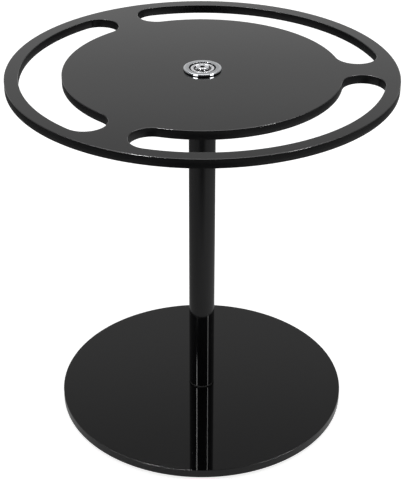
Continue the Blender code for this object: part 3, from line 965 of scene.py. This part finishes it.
def backdrop():
    """A pale dome of cloth round the table, which neither lights the stand nor shows in its gloss."""
    material, tree, shader, place = new_material(
        "cloth_backdrop_white", Roughness=1.0, Specular_IOR_Level=0.0, Emission_Strength=1.0
    )
    glow = blend(tree, noise(tree, place, 900, 2.0), "#fdfdfd", "#f9f9f9")
    tree.links.new(glow, shader.inputs["Emission Color"])
    shader.inputs["Base Color"].default_value = linear("#d4d4d4")
    bm = bmesh.new()
    bmesh.ops.create_uvsphere(bm, u_segments=64, v_segments=32, radius=DOME_RADIUS)
    mesh = new_mesh("studio_backdrop", bm)
    mesh.shade_smooth()
    mesh.materials.append(material)
    dome = new_object("studio_backdrop", mesh)
    dome.visible_diffuse = dome.visible_glossy = dome.visible_shadow = dome.visible_transmission = False


def reflection_card():
    """What the gloss sees below it: a lit round patch of table that ends dark, with a dark bay in front."""
    material = bpy.data.materials.new("card_lit_patch")
    material.use_nodes = True
    tree = material.node_tree
    tree.nodes.clear()
    place = add(tree, "ShaderNodeTexCoord").outputs["Object"]
    reach = add(tree, "ShaderNodeVectorMath", {0: place}, operation="LENGTH")
    ramp = add(tree, "ShaderNodeValToRGB", {0: reach.outputs["Value"]})
    set_stops(ramp, CARD_STOPS)
    bay = add(tree, "ShaderNodeVectorMath", {0: place, 1: BAY_CENTRE}, operation="DISTANCE")
    clear = span(tree, bay.outputs["Value"], 0.12, 0.30, 0.28, 1.0)
    axes = add(tree, "ShaderNodeSeparateXYZ", {0: place})
    behind = span(tree, axes.outputs[1], -0.05, 0.22, 1.0, 0.5)
    across = span(tree, axes.outputs[0], -0.15, 0.15, 0.85, 1.25)
    level = maths(tree, "MULTIPLY", maths(tree, "MULTIPLY", clear, behind), across)
    glow = add(tree, "ShaderNodeEmission", {"Color": ramp.outputs[0], "Strength": level})
    out = add(tree, "ShaderNodeOutputMaterial")
    tree.links.new(glow.outputs[0], out.inputs["Surface"])
    card = flat_square("reflection_card", 1.0, CARD_HEIGHT, material)
    card.visible_camera = card.visible_diffuse = card.visible_shadow = card.visible_transmission = False


def set_stops(ramp, stops):
    """Sets a ramp's grey stops, given as (position, level)."""
    ramp.color_ramp.interpolation = "EASE"
    elements = ramp.color_ramp.elements
    while len(elements) < len(stops):
        elements.new(0.5)
    for element, (position, level) in zip(elements, stops):
        element.position = position
        element.color = (level, level, level, 1.0)


def sky():
    """Soft surroundings: brightest behind the stand near the horizon, fading upwards and to the front."""
    world = bpy.data.worlds.new("studio_surround")
    bpy.context.scene.world = world
    world.use_nodes = True
    tree = world.node_tree
    direction = add(tree, "ShaderNodeTexCoord").outputs["Generated"]
    axes = add(tree, "ShaderNodeSeparateXYZ", {0: direction})
    ramp = add(tree, "ShaderNodeValToRGB", {0: span(tree, axes.outputs[2], -1.0, 1.0)})
    set_stops(ramp, [((height + 1) / 2, level) for height, level in SKY_STOPS])
    background = tree.nodes["Background"]
    tree.links.new(ramp.outputs[0], background.inputs["Color"])
    front = span(tree, axes.outputs[1], -0.8, 0.1, FRONT_LEVEL, 1.0)
    tree.links.new(front, background.inputs["Strength"])


def softbox(name, azimuth, elevation, distance, width, height, radiance):
    """A rectangular light that faces the middle of the stand. Azimuth runs from the front to the right."""
    light = bpy.data.lights.new(name, "AREA")
    light.shape = "RECTANGLE"
    light.size, light.size_y = width, height
    light.energy = radiance * width * height * pi
    obj = new_object(name, light)
    a, e = radians(azimuth), radians(elevation)
    away = Vector((sin(a) * cos(e), -cos(a) * cos(e), sin(e)))
    obj.location = LIGHT_TARGET + away * distance
    obj.rotation_euler = away.to_track_quat("Z", "Y").to_euler()
    return obj


def lights():
    """One broad light that only shades. The others only show as reflections in the gloss and the metal."""
    softbox("overhead_fill", 0, 90, 3.0, 3.0, 3.0, 0.9).visible_glossy = False
    for light in GLOSS_LIGHTS:
        softbox(*light).visible_diffuse = False


def camera():
    """Looks along +Y from in front, well above the plate, with a medium telephoto lens."""
    data = bpy.data.cameras.new("camera")
    data.lens = CAMERA_LENS
    data.clip_start = 0.01
    obj = new_object("camera", data)
    obj.location = CAMERA_PLACE
    yaw = Matrix.Rotation(CAMERA_YAW, 3, "Z")
    pitch = Matrix.Rotation(pi / 2 - CAMERA_PITCH, 3, "X")
    roll = Matrix.Rotation(CAMERA_ROLL, 3, "Z")
    obj.rotation_euler = (yaw @ pitch @ roll).to_euler()
    bpy.context.scene.camera = obj


def main():
    acrylic = cast_acrylic()
    enamel = stove_enamel()
    satin = satin_chrome()
    chrome = polished_chrome()
    steel = bearing_steel()
    painted_shade_steel = painted_shade_metal()
    zinc = zinc_plate()
    rubber = moulded_rubber()
    nylon = moulded_nylon()

    rubber_feet(rubber)
    base_disc(acrylic)
    base_screw(zinc)
    foot_seal(rubber)
    column(enamel)
    foot_plug(zinc)
    head_plug(zinc)
    axle_spacer(zinc)
    axle_screw(chrome, painted_shade_steel)
    bearing(steel, painted_shade_steel, nylon)
    slotted_plate(acrylic)
    hub(satin, painted_shade_steel)
    clamp_washer(nylon)
    thin_nut(satin)

    floor()
    backdrop()
    reflection_card()
    sky()
    lights()
    camera()
    bpy.context.scene.view_settings.view_transform = "Standard"


main()
